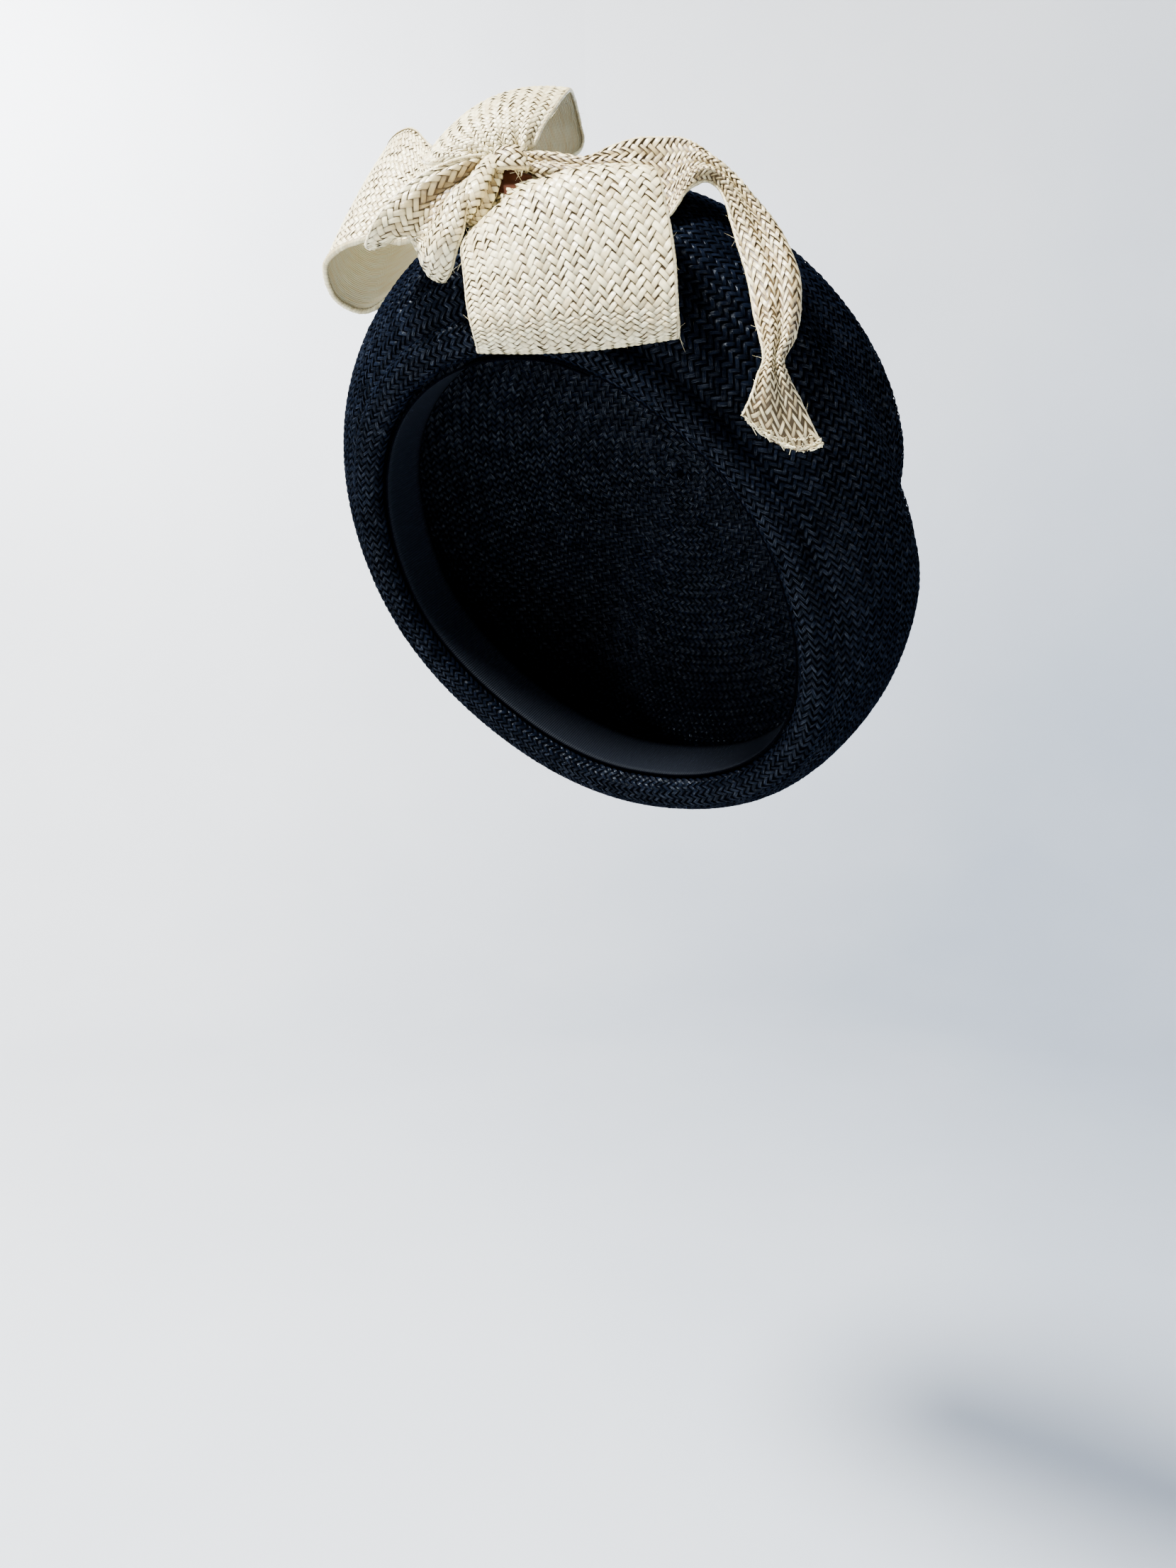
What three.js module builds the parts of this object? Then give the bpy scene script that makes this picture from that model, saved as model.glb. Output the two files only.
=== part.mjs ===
// Straw beret with a bow. Millimetres, +Z up, tilted as it is worn, with the middle
// of its head opening at the origin. The wearer faces -Y and their left is +X.
// Places on the crown are given upright, with the rim at height 0, by turn (degrees
// from the forehead towards the wearer's left), reach (distance from the upright
// axis) and height. Places on the bow are given as worn, seen from the side the bow
// is on, by how far right, away and up they lie.
import * as THREE from "three";

const CROWN_STRAW = 1.6; // plaited straw of the crown
const BOW_STRAW = 1.2; // finer straw of the bow
const RIBBON = 1.0; // corded ribbon inside the rim
const GAP = 0.5; // clearance between touching pieces

const CROWN_HEIGHT = 118;
const CROWN_TOP = { left: 2, back: -8 }; // where the middle of the top lies
const FULLNESS = 2.5; // 2 is a round dome, more is a fuller shoulder
const ROLL_RADIUS = 7.5; // the rim, rolled under to the inside

// One row every 45 degrees: outer reach of the rim roll, widest reach and its height.
const CROWN_ROWS = [
  { turn: 0, rim: 121, widest: 150, waist: 52 },
  { turn: 45, rim: 113, widest: 148, waist: 55 },
  { turn: 90, rim: 104, widest: 139, waist: 58 },
  { turn: 135, rim: 110, widest: 132, waist: 58 },
  { turn: 180, rim: 124, widest: 134, waist: 52 },
  { turn: 225, rim: 113, widest: 132, waist: 50 },
  { turn: 270, rim: 106, widest: 134, waist: 50 },
  { turn: 315, rim: 115, widest: 143, waist: 50 },
];

// The soft fold that runs up the back left of the crown.
const FOLD_ROWS = [
  { turn: 70, height: 44, depth: 0, spread: 10 },
  { turn: 92, height: 50, depth: 3, spread: 10 },
  { turn: 110, height: 57, depth: 6, spread: 10 },
  { turn: 125, height: 66, depth: 9, spread: 10 },
  { turn: 139, height: 78, depth: 13, spread: 10 },
  { turn: 152, height: 90, depth: 9, spread: 9 },
  { turn: 168, height: 101, depth: 0, spread: 8 },
];

// Sections along each straw strip of the bow. The width of a section lies to the
// right, lifted by lean and swung away by swing, both in degrees, and its middle
// bows out by bend.
const FRONT_LOOP = [
  { right: -31.2, away: -34.9, up: 149.5, lean: 20.5, swing: -25, width: 4.5, bend: 0 },
  { right: -17.5, away: -52, up: 139.5, lean: 13.5, swing: -19.5, width: 36, bend: 1 },
  { right: -8, away: -61.5, up: 134, lean: 14, swing: -16, width: 62.5, bend: 4 },
  { right: -4.5, away: -70, up: 128, lean: 15, swing: -15.5, width: 74.5, bend: 11 },
  { right: -2, away: -76, up: 114.5, lean: 13, swing: -15.5, width: 76, bend: 9 },
  { right: 0, away: -79.5, up: 100, lean: 7.5, swing: -16, width: 76.5, bend: 6 },
  { right: 1.5, away: -80.5, up: 87, lean: 1.5, swing: -16, width: 75, bend: 4 },
  { right: 2.5, away: -78.5, up: 81, lean: -0.5, swing: -16.5, width: 74.5, bend: 3 },
  { right: 2.5, away: -72.5, up: 80.5, lean: -1, swing: -16.5, width: 75, bend: 2 },
  { right: 2, away: -66.5, up: 83.5, lean: -1, swing: -16, width: 75.5, bend: 1 },
  { right: 1.5, away: -64, up: 92.5, lean: -1, swing: -17.5, width: 74, bend: 0 },
  { right: -0.5, away: -61.5, up: 108.5, lean: 3, swing: -21, width: 65, bend: 0 },
  { right: -5.5, away: -56.5, up: 125.5, lean: 5, swing: -22.5, width: 50, bend: 0 },
  { right: -16.5, away: -47.5, up: 137.5, lean: 2.5, swing: -25.5, width: 25.5, bend: 0 },
  { right: -31.4, away: -36, up: 145, lean: 11.5, swing: -18, width: 5, bend: 0 },
];

const TAIL = [
  { right: -28.5, away: -30, up: 157, lean: -84.5, swing: -16.5, width: 8, bend: 0 },
  { right: -16.5, away: -39.5, up: 156.5, lean: -86.5, swing: -21.5, width: 13.5, bend: -1 },
  { right: -7, away: -45, up: 154, lean: -87, swing: -25, width: 14, bend: -2 },
  { right: 5.5, away: -49.5, up: 150, lean: -87.5, swing: -27, width: 15.5, bend: -2 },
  { right: 16, away: -53.5, up: 149, lean: -85.5, swing: -23, width: 23, bend: 0 },
  { right: 27, away: -55.5, up: 147.5, lean: -83, swing: -20.5, width: 31.5, bend: 2 },
  { right: 35.5, away: -56.5, up: 145.5, lean: -88.5, swing: -18.5, width: 35, bend: 3 },
  { right: 41, away: -57.5, up: 147, lean: -95, swing: -18, width: 29, bend: 2 },
  { right: 46, away: -58, up: 148, lean: -104.5, swing: -13, width: 18, bend: 0 },
  { right: 52, away: -59, up: 146.5, lean: -124, swing: -12, width: 9.5, bend: -2 },
  { right: 58, away: -60.5, up: 141.5, lean: -158, swing: -7, width: 8, bend: -2 },
  { right: 62.5, away: -63, up: 134.5, lean: -180, swing: 0, width: 11.5, bend: -1 },
  { right: 66.5, away: -65.5, up: 126, lean: -179.5, swing: 4, width: 15.5, bend: -1 },
  { right: 70, away: -69.5, up: 115.5, lean: -179.5, swing: 3, width: 18, bend: -1 },
  { right: 73, away: -74.5, up: 102.5, lean: -181, swing: 3, width: 18.5, bend: -2 },
  { right: 73.5, away: -79.5, up: 88, lean: -183, swing: 3.5, width: 16, bend: -3 },
  { right: 73, away: -83, up: 78.5, lean: -183.5, swing: 0, width: 11.5, bend: -3 },
  { right: 71.5, away: -85, up: 71.5, lean: -184, swing: 0, width: 7, bend: -2 },
  { right: 71.5, away: -85, up: 66.5, lean: -184.5, swing: -2.5, width: 10.5, bend: -2 },
  { right: 73, away: -83.5, up: 58.5, lean: -187.5, swing: -3, width: 18, bend: -1 },
  { right: 75.5, away: -81.5, up: 48, lean: -199.5, swing: -2, width: 30.5, bend: 0 },
];

const TOP_LOOP = [
  { right: -29, away: -28.5, up: 163.5, lean: 14, swing: -12, width: 5, bend: 0 },
  { right: -26.5, away: -34, up: 164, lean: 9, swing: -4, width: 22.5, bend: -1 },
  { right: -29, away: -31.5, up: 168.5, lean: 17.5, swing: -4.5, width: 38.5, bend: -4 },
  { right: -30.5, away: -26.5, up: 174, lean: 22, swing: -3, width: 53.5, bend: -6 },
  { right: -30.5, away: -15.5, up: 182.5, lean: 23.5, swing: -2.5, width: 63, bend: -8 },
  { right: -29, away: -1, up: 191.5, lean: 22.5, swing: -2, width: 63, bend: -9 },
  { right: -27, away: 12, up: 196, lean: 18.5, swing: 0, width: 61, bend: -8 },
  { right: -24.5, away: 20, up: 195, lean: 11, swing: 0, width: 58, bend: -6 },
  { right: -22, away: 21.5, up: 191, lean: 5, swing: -1, width: 54, bend: -4 },
  { right: -22.5, away: 12.5, up: 182.5, lean: 2.5, swing: -1.5, width: 41.5, bend: -2 },
  { right: -27.5, away: 0, up: 176, lean: -3, swing: -16.5, width: 14, bend: 0 },
];

const LEFT_LOOP = [
  { right: -37, away: -21.5, up: 161.5, lean: 75, swing: 21, width: 8.5, bend: 0 },
  { right: -44, away: -11, up: 165.5, lean: 86.5, swing: 21, width: 17, bend: -2 },
  { right: -56, away: 8, up: 171, lean: 84.5, swing: 19, width: 29, bend: -4 },
  { right: -67, away: 22, up: 173.5, lean: 81.5, swing: 20, width: 52, bend: -3 },
  { right: -80, away: 28.5, up: 180, lean: 75, swing: 24, width: 66, bend: -2 },
  { right: -90.5, away: 34.5, up: 179.5, lean: 71, swing: 25, width: 73, bend: -2 },
  { right: -97.5, away: 44.5, up: 177.5, lean: 70, swing: 23.5, width: 78, bend: -1 },
  { right: -96.5, away: 55, up: 173, lean: 74, swing: 20.5, width: 85.5, bend: 0 },
  { right: -86.5, away: 60.5, up: 170, lean: 77, swing: 21, width: 87, bend: 0 },
  { right: -74, away: 57.5, up: 173, lean: 78, swing: 22, width: 77, bend: 0 },
  { right: -58.5, away: 36.5, up: 170, lean: 78, swing: 24.5, width: 46, bend: 0 },
  { right: -44.5, away: 0, up: 163.5, lean: 72, swing: 25.5, width: 9.5, bend: 0 },
];

const MIDDLE_LOOP = [
  { right: -32, away: -39.5, up: 158, lean: -82.5, swing: -31.5, width: 7.5, bend: 0 },
  { right: -38.5, away: -44.5, up: 150, lean: -45, swing: -23.5, width: 17.5, bend: 2 },
  { right: -47, away: -48.5, up: 140.5, lean: -36.5, swing: -23.5, width: 27.5, bend: 4 },
  { right: -52.5, away: -49.5, up: 131.5, lean: -27, swing: -21.5, width: 36, bend: 4 },
  { right: -57, away: -47.5, up: 126, lean: -21, swing: -18.5, width: 38, bend: 3 },
  { right: -60.5, away: -41.5, up: 124.5, lean: -24, swing: -16, width: 38, bend: 2 },
  { right: -62, away: -33.5, up: 126.5, lean: -29, swing: -15.5, width: 33.5, bend: 0 },
  { right: -56.5, away: -30, up: 137.5, lean: -40.5, swing: -19.5, width: 22, bend: 0 },
  { right: -45, away: -28, up: 154.5, lean: -61.5, swing: -32, width: 9.5, bend: 0 },
];

const PLEATS = { depth: 5, count: 2, shift: 0.7 }; // folds that run along the middle loop
const KNOT = { right: -35.2, away: -28.2, up: 150.9, lean: 22, tilt: 26, length: 29, width: 11, depth: 9 };

// How the upright crown is turned about its own axis, tilted and turned again when
// worn, and the side the bow is seen from, all in degrees.
const WORN = { spin: 136.8, tilt: 59.9, turn: 144.8 };
const BOW_SIDE = 60;

const radians = THREE.MathUtils.degToRad;

const COLOURS = { navy: 0x10141f, ivory: 0xe9e1cb, ribbon: 0x0b0d14 };

function straw(colour, roughness) {
  return new THREE.MeshStandardMaterial({ color: colour, roughness, metalness: 0 });
}

function place(turn, reach, height) {
  const angle = radians(turn);
  return new THREE.Vector3(Math.sin(angle) * reach, -Math.cos(angle) * reach, height);
}

// Smooth value of one column between the crown's rows, going right round.
function around(column, turn) {
  const count = CROWN_ROWS.length;
  const at = ((((turn % 360) + 360) % 360) / 360) * count;
  const row = Math.floor(at);
  const f = at - row;
  const [a, b, c, d] = [-1, 0, 1, 2].map((k) => CROWN_ROWS[(row + k + count) % count][column]);
  return THREE.MathUtils.clamp(
    0.5 * (2 * b + (c - a) * f + (2 * a - 5 * b + 4 * c - d) * f * f + (3 * b - a - 3 * c + d) * f ** 3),
    Math.min(b, c) - 10,
    Math.max(b, c) + 10,
  );
}

function between(rows, column, turn) {
  const last = rows.length - 1;
  if (turn <= rows[0].turn) return rows[0][column];
  if (turn >= rows[last].turn) return rows[last][column];
  const k = rows.findIndex((row) => row.turn > turn);
  const f = (turn - rows[k - 1].turn) / (rows[k].turn - rows[k - 1].turn);
  return THREE.MathUtils.lerp(rows[k - 1][column], rows[k][column], f);
}

// Reach and height of the crown's outer face. Level 0 is the hem inside the
// roll, 1 the outer side of the roll, 2 the widest line and 3 the top.
function crownSection(turn, level) {
  const rim = around("rim", turn);
  const widest = around("widest", turn);
  const waist = around("waist", turn);
  if (level < 1) {
    const angle = Math.PI * (1 + level);
    const flat = ROLL_RADIUS * Math.sin(radians(67.5));
    return [
      rim - ROLL_RADIUS + ROLL_RADIUS * Math.cos(angle),
      Math.max(0, ROLL_RADIUS * Math.sin(angle) + flat),
    ];
  }
  const low = ROLL_RADIUS * Math.sin(radians(67.5));
  if (level < 2) {
    const angle = (level - 1) * Math.PI * 0.5;
    return [
      rim + (widest - rim) * Math.sin(angle) ** 0.9,
      low + (waist - low) * (1 - Math.cos(angle)) ** 0.8,
    ];
  }
  const angle = (level - 2) * Math.PI * 0.5;
  return [
    widest * Math.abs(Math.cos(angle)) ** (2 / FULLNESS),
    waist + (CROWN_HEIGHT - waist) * Math.sin(angle) ** (2 / FULLNESS),
  ];
}

function smoothCrown(turn, level) {
  const [reach, height] = crownSection(turn, level);
  const waist = around("waist", turn);
  const up = THREE.MathUtils.clamp((height - waist) / (CROWN_HEIGHT - waist), 0, 1);
  const point = place(turn, reach, height);
  point.x += CROWN_TOP.left * up;
  point.y += CROWN_TOP.back * up;
  return point;
}

function crownNormal(turn, level) {
  const small = 0.002;
  const low = Math.max(0, level - small);
  const high = Math.min(2.98, level + small);
  const along = smoothCrown(turn + 0.5, level).sub(smoothCrown(turn - 0.5, level));
  const up = smoothCrown(turn, high).sub(smoothCrown(turn, low));
  return along.cross(up).normalize();
}

// The crown's outer face with its fold pressed in, moved inwards by inset.
function crownPoint(turn, level, inset) {
  const point = smoothCrown(turn, level);
  const normal = crownNormal(turn, level);
  const spread = between(FOLD_ROWS, "spread", turn);
  const away = (point.z - between(FOLD_ROWS, "height", turn)) / spread;
  const dent = level > 1.1 ? between(FOLD_ROWS, "depth", turn) * Math.exp(-0.5 * away * away) : 0;
  return point.addScaledVector(normal, -dent - inset);
}

function solid(points, triangles) {
  const geometry = new THREE.BufferGeometry();
  const flat = points.flatMap((p) => [p.x, p.y, p.z]);
  geometry.setAttribute("position", new THREE.Float32BufferAttribute(flat, 3));
  geometry.setIndex(triangles);
  geometry.computeVertexNormals();
  return geometry;
}

// A wall between an outer and an inner face, closed at the hem and at the top.
function crownShell() {
  const steps = 60;
  const levels = [];
  for (const k of [0, 1, 2, 3, 5, 6, 7, 8]) levels.push(k / 8);
  for (let k = 1; k <= 5; k++) levels.push(1 + k / 5);
  for (let k = 1; k <= 8; k++) levels.push(2 + k / 9);
  const points = [];
  const triangles = [];
  for (const inset of [0, CROWN_STRAW]) {
    for (const level of levels) {
      for (let k = 0; k < steps; k++) points.push(crownPoint((360 * k) / steps, level, inset));
    }
  }
  const rows = levels.length;
  const at = (side, row, k) => (side * rows + row) * steps + (k % steps);
  const top = [CROWN_HEIGHT, CROWN_HEIGHT - CROWN_STRAW].map(
    (height) => points.push(new THREE.Vector3(CROWN_TOP.left, CROWN_TOP.back, height)) - 1,
  );
  for (let k = 0; k < steps; k++) {
    for (let row = 0; row < rows - 1; row++) {
      const [a, b, c, d] = [at(0, row, k), at(0, row, k + 1), at(0, row + 1, k + 1), at(0, row + 1, k)];
      triangles.push(a, b, c, a, c, d);
      const [e, f, g, h] = [at(1, row, k), at(1, row, k + 1), at(1, row + 1, k + 1), at(1, row + 1, k)];
      triangles.push(e, g, f, e, h, g);
    }
    triangles.push(at(0, rows - 1, k), at(0, rows - 1, k + 1), top[0]);
    triangles.push(at(1, rows - 1, k), top[1], at(1, rows - 1, k + 1));
    triangles.push(at(0, 0, k), at(1, 0, k), at(1, 0, k + 1));
    triangles.push(at(0, 0, k), at(1, 0, k + 1), at(0, 0, k + 1));
  }
  return solid(points, triangles);
}

// A sheet with thickness. face(u, v) is its middle, u along it and v across it.
function sheet(face, along, across, thickness) {
  const points = [];
  const triangles = [];
  const small = 1e-3;
  for (const side of [0.5, -0.5]) {
    for (let i = 0; i <= along; i++) {
      for (let j = 0; j <= across; j++) {
        const [u, v] = [i / along, j / across];
        const du = face(Math.min(1, u + small), v).sub(face(Math.max(0, u - small), v));
        const dv = face(u, Math.min(1, v + small)).sub(face(u, Math.max(0, v - small)));
        points.push(face(u, v).addScaledVector(du.cross(dv).normalize(), side * thickness));
      }
    }
  }
  const width = across + 1;
  const other = (along + 1) * width;
  for (let i = 0; i < along; i++) {
    for (let j = 0; j < across; j++) {
      const a = i * width + j;
      triangles.push(a, a + width, a + width + 1, a, a + width + 1, a + 1);
      const b = other + a;
      triangles.push(b, b + width + 1, b + width, b, b + 1, b + width + 1);
    }
  }
  const edge = (a, b) => triangles.push(a, b, other + b, a, other + b, other + a);
  for (let j = 0; j < across; j++) {
    edge(j, j + 1);
    edge(along * width + j + 1, along * width + j);
  }
  for (let i = 0; i < along; i++) {
    edge((i + 1) * width, i * width);
    edge(i * width + across, (i + 1) * width + across);
  }
  return solid(points, triangles);
}

// Middle line and width of a strip, smooth through its rows.
function stripFace(rows, pleat) {
  const middle = new THREE.CatmullRomCurve3(
    rows.map((row) => new THREE.Vector3(row.right, row.away, row.up)), false, "centripetal",
  );
  const half = new THREE.CatmullRomCurve3(
    rows.map((row) => {
      const [lean, swing] = [row.lean, row.swing].map(radians);
      return new THREE.Vector3(
        Math.cos(swing) * Math.cos(lean), Math.sin(swing), Math.cos(swing) * Math.sin(lean),
      ).multiplyScalar(row.width / 2);
    }), false, "catmullrom",
  );
  const bends = new THREE.CatmullRomCurve3(
    rows.map((row) => new THREE.Vector3(row.bend, 0, 0)), false, "catmullrom",
  );
  return (u, v) => {
    const across = half.getPoint(u);
    const normal = middle.getTangent(u).cross(across).normalize();
    const ripple = pleat ? Math.sin(Math.PI * (pleat.count * v + pleat.shift)) : 0;
    const fold = pleat ? pleat.depth * ripple * Math.sin(Math.PI * u) ** 0.5 : 0;
    const out = bends.getPoint(u).x * (1 - (2 * v - 1) ** 2) + fold;
    return middle.getPoint(u).addScaledVector(normal, out).addScaledVector(across, 2 * v - 1);
  };
}

function strip(rows, along, across, pleat) {
  return sheet(stripFace(rows, pleat), along, across, BOW_STRAW);
}

// The centre wrap: an oval roll of straw, standing upright against the crown.
function knotRoll() {
  const outline = new THREE.Shape();
  outline.absellipse(0, 0, KNOT.width / 2, KNOT.depth / 2, 0, 2 * Math.PI);
  const roll = new THREE.ExtrudeGeometry(outline, {
    depth: KNOT.length, steps: 1, bevelEnabled: false, curveSegments: 10,
  });
  roll.translate(0, 0, -KNOT.length / 2);
  return roll;
}

// The head ribbon: a band just inside the hem, its cut end lapping over its start.
const RIBBON_BAND = { start: 52, sweep: 374, low: 6, high: 31 };

function ribbonFace(u, v) {
  const turn = RIBBON_BAND.start + RIBBON_BAND.sweep * u;
  const lap = (u * RIBBON_BAND.sweep) / 360 * (RIBBON + GAP);
  const inside = 2 * ROLL_RADIUS + RIBBON / 2 + GAP + lap;
  const height = THREE.MathUtils.lerp(RIBBON_BAND.low, RIBBON_BAND.high, v);
  return place(turn, around("rim", turn) - inside, height);
}

const group = new THREE.Group();
group.rotation.z = radians(BOW_SIDE);
const hat = new THREE.Group();
hat.rotateZ(radians(WORN.turn)).rotateX(radians(WORN.tilt)).rotateZ(radians(WORN.spin));
const bow = new THREE.Group();
group.add(hat, bow);

function add(holder, name, geometry, material) {
  const mesh = new THREE.Mesh(geometry, material);
  mesh.name = name;
  holder.add(mesh);
  return mesh;
}

add(hat, "crown", crownShell(), straw(COLOURS.navy, 0.45));
add(hat, "sweatband", sheet(ribbonFace, 72, 1, RIBBON), straw(COLOURS.ribbon, 0.6));
add(bow, "front_loop", strip(FRONT_LOOP, 36, 6), straw(COLOURS.ivory, 0.55));
add(bow, "left_loop", strip(LEFT_LOOP, 30, 5), straw(COLOURS.ivory, 0.55));
add(bow, "top_loop", strip(TOP_LOOP, 26, 5), straw(COLOURS.ivory, 0.55));
add(bow, "middle_loop", strip(MIDDLE_LOOP, 24, 10, PLEATS), straw(COLOURS.ivory, 0.55));
add(bow, "tail", strip(TAIL, 36, 4), straw(COLOURS.ivory, 0.55));
const knot = add(bow, "knot", knotRoll(), straw(COLOURS.ivory, 0.55));
knot.position.set(KNOT.right, KNOT.away, KNOT.up);
knot.rotation.set(-radians(KNOT.tilt), radians(KNOT.lean), 0);

export default group;
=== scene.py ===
# %% [markdown]
# # A woven straw beret with a bow
#
# The hat is blocked from a hood of plaited straw, dyed a navy that is almost black. Its rim is
# rolled under, a corded ribbon runs round inside it, and a bow of finer ivory straw sits above
# the wearer's left ear, with a cut tail that hangs down beside it.
#
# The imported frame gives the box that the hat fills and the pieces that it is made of. The tables
# of sections in the cells below repeat those of the CAD part, so that every piece lands on its
# solid. Each piece is a thin shell for the cloth, and over it the separate flat straws, thousands
# of them, laid out by one function that follows the shell.

# %% Load the frame
import math

import bpy
import numpy as np
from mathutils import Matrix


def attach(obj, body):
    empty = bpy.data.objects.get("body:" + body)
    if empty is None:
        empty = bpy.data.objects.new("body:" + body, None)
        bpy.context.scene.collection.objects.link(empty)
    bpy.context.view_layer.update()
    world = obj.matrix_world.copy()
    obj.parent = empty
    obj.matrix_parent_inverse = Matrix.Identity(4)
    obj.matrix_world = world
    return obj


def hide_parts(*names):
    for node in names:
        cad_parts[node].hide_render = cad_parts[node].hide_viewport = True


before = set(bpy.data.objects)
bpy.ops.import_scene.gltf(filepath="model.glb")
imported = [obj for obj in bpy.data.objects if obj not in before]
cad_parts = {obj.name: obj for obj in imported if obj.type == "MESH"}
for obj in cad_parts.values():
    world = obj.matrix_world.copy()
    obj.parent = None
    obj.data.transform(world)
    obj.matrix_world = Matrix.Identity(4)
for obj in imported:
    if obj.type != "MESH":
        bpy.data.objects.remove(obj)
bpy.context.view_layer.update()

MM = 0.001

# %% [markdown]
# ## Where things are
#
# The hat is held up tilted, as on a head: the middle of its head opening is the origin, the
# wearer faces -Y and their left is +X. It is easier to describe the crown upright, standing on
# its rim, and the bow as somebody sees it who stands on the bow's side. Two turning matrices
# take those descriptions into the frame. They could be object rotations instead, but a piece
# keeps its place in its mesh here, so the points themselves are turned.

# %% Turn the crown and the bow into the frame
WORN = {"spin": 136.8, "tilt": 59.9, "turn": 144.8}
BOW_SIDE = 60


def turning(axis, degrees):
    c, s = math.cos(math.radians(degrees)), math.sin(math.radians(degrees))
    rows = {
        "x": [[1, 0, 0], [0, c, -s], [0, s, c]],
        "z": [[c, -s, 0], [s, c, 0], [0, 0, 1]],
    }
    return np.array(rows[axis])


BOW_TO_FRAME = turning("z", BOW_SIDE)
HAT_TO_FRAME = (
    BOW_TO_FRAME
    @ turning("z", WORN["turn"])
    @ turning("x", WORN["tilt"])
    @ turning("z", WORN["spin"])
)
print("the crown leans", WORN["tilt"], "degrees from upright")

# %% [markdown]
# ## The camera
#
# The camera stands on the bow's side, a little below the hat, and looks slightly down. A wide
# lens close to the hat gives a strong perspective. The numbers are the camera's place as seen
# from the bow's side: how far right, away and up it is from the middle of the head opening, in
# millimetres.

# %% Set up the camera
EYE = {"right": 7.0, "away": -489.9, "up": -46.4}
LOOK_DOWN = 4.3
LENS = 26.04
SENSOR = 36.0

camera = bpy.data.objects.new("camera", bpy.data.cameras.new("camera"))
bpy.context.collection.objects.link(camera)
camera.data.sensor_fit = "VERTICAL"
camera.data.sensor_height = SENSOR
camera.data.lens = LENS
camera.location = BOW_TO_FRAME @ np.array(list(EYE.values())) * MM
camera.rotation_euler = (math.radians(90 - LOOK_DOWN), 0, math.radians(BOW_SIDE))
bpy.context.scene.camera = camera
print("the camera stands at", [round(x, 3) for x in camera.location])

# %% [markdown]
# ## Shader maths
#
# A material is a small graph of nodes. Wrapping a socket in a class lets the graph be written as
# ordinary sums: each operator adds one Math node. Colours are mixed by Mix nodes, because a Math
# node would turn them grey, and everything else comes from one method that takes a node's type,
# its settings and what goes into its sockets.


# %% A class for sums and a class for finishes
class Value:
    """A socket that takes part in Python sums."""

    def __init__(self, finish, socket):
        self.finish = finish
        self.socket = socket

    def math(self, operation, *others):
        node = self.finish.node("ShaderNodeMath", {"operation": operation})
        for place, value in enumerate(others):
            self.finish.feed(node.inputs[place], value)
        return Value(self.finish, node.outputs[0])

    def __add__(self, other):
        return self.math("ADD", self, other)

    def __sub__(self, other):
        return self.math("SUBTRACT", self, other)

    def __rsub__(self, other):
        return self.math("SUBTRACT", other, self)

    def __mul__(self, other):
        return self.math("MULTIPLY", self, other)

    def __pow__(self, other):
        return self.math("POWER", self, other)

    def __abs__(self):
        return self.math("ABSOLUTE", self)

    def sine(self):
        return self.math("SINE", self)

    def limited(self):
        node = self.finish.node("ShaderNodeClamp", {}, {"Value": self})
        return Value(self.finish, node.outputs[0])

    __radd__ = __add__
    __rmul__ = __mul__


class Finish:
    """One material, and the method that adds any node to it."""

    def __init__(self, name):
        self.material = bpy.data.materials.new(name)
        self.material.use_nodes = True
        self.nodes = self.material.node_tree.nodes
        self.links = self.material.node_tree.links
        self.nodes.clear()

    def node(self, kind, settings=None, sockets=None):
        node = self.nodes.new(kind)
        for name, value in (settings or {}).items():
            setattr(node, name, value)
        for name, value in (sockets or {}).items():
            self.feed(node.inputs[name], value)
        return node

    def feed(self, socket, value):
        if isinstance(value, Value):
            self.links.new(value.socket, socket)
        else:
            socket.default_value = value

    def value(self, kind, settings=None, sockets=None, output=0):
        return Value(self, self.node(kind, settings, sockets).outputs[output])

    def mix(self, first, second, factor):
        node = self.node("ShaderNodeMix", {"data_type": "RGBA"})
        self.feed(node.inputs[0], factor)
        self.feed(node.inputs[6], first)
        self.feed(node.inputs[7], second)
        return Value(self, node.outputs[2])

    def vector(self, across, up, deep=0.0):
        return self.value("ShaderNodeCombineXYZ", {}, {"X": across, "Y": up, "Z": deep})

    def coordinates(self):
        place = self.node("ShaderNodeUVMap")
        split = self.node("ShaderNodeSeparateXYZ", {}, {"Vector": Value(self, place.outputs[0])})
        return Value(self, split.outputs[0]), Value(self, split.outputs[1])

    def position(self):
        """Where a point lies on its object: the fourth output of the coordinates node."""
        return self.value("ShaderNodeTexCoord", output=3)

    def noise(self, place, scale, detail=3.0):
        sockets = {"Vector": place, "Scale": scale, "Detail": detail}
        return self.value("ShaderNodeTexNoise", {"noise_dimensions": "3D"}, sockets)

    def attribute(self, name):
        return self.value("ShaderNodeAttribute", {"attribute_name": name}, output=2)

    def bump(self, height, strength, distance):
        sockets = {"Height": height, "Strength": strength, "Distance": distance}
        return self.value("ShaderNodeBump", {}, sockets)

    def surface(self, sockets, polish=None, sheen=(1, 1, 1, 1)):
        """Ends the material. The polish says how much of it, at each place, mirrors like wax."""
        shader = self.value("ShaderNodeBsdfPrincipled", {}, sockets)
        if polish is not None:
            wax = {"Base Color": sheen, "Metallic": 1.0, "Roughness": sockets["Roughness"]}
            wax["Normal"] = sockets["Normal"]
            mirror = self.value("ShaderNodeBsdfPrincipled", {}, wax)
            both = self.node("ShaderNodeMixShader")
            for place, value in enumerate((polish, shader, mirror)):
                self.feed(both.inputs[place], value)
            shader = Value(self, both.outputs[0])
        self.node("ShaderNodeOutputMaterial", {}, {"Surface": shader})
        print("finish", self.material.name, "has", len(self.nodes), "nodes")
        return self.material


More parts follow.
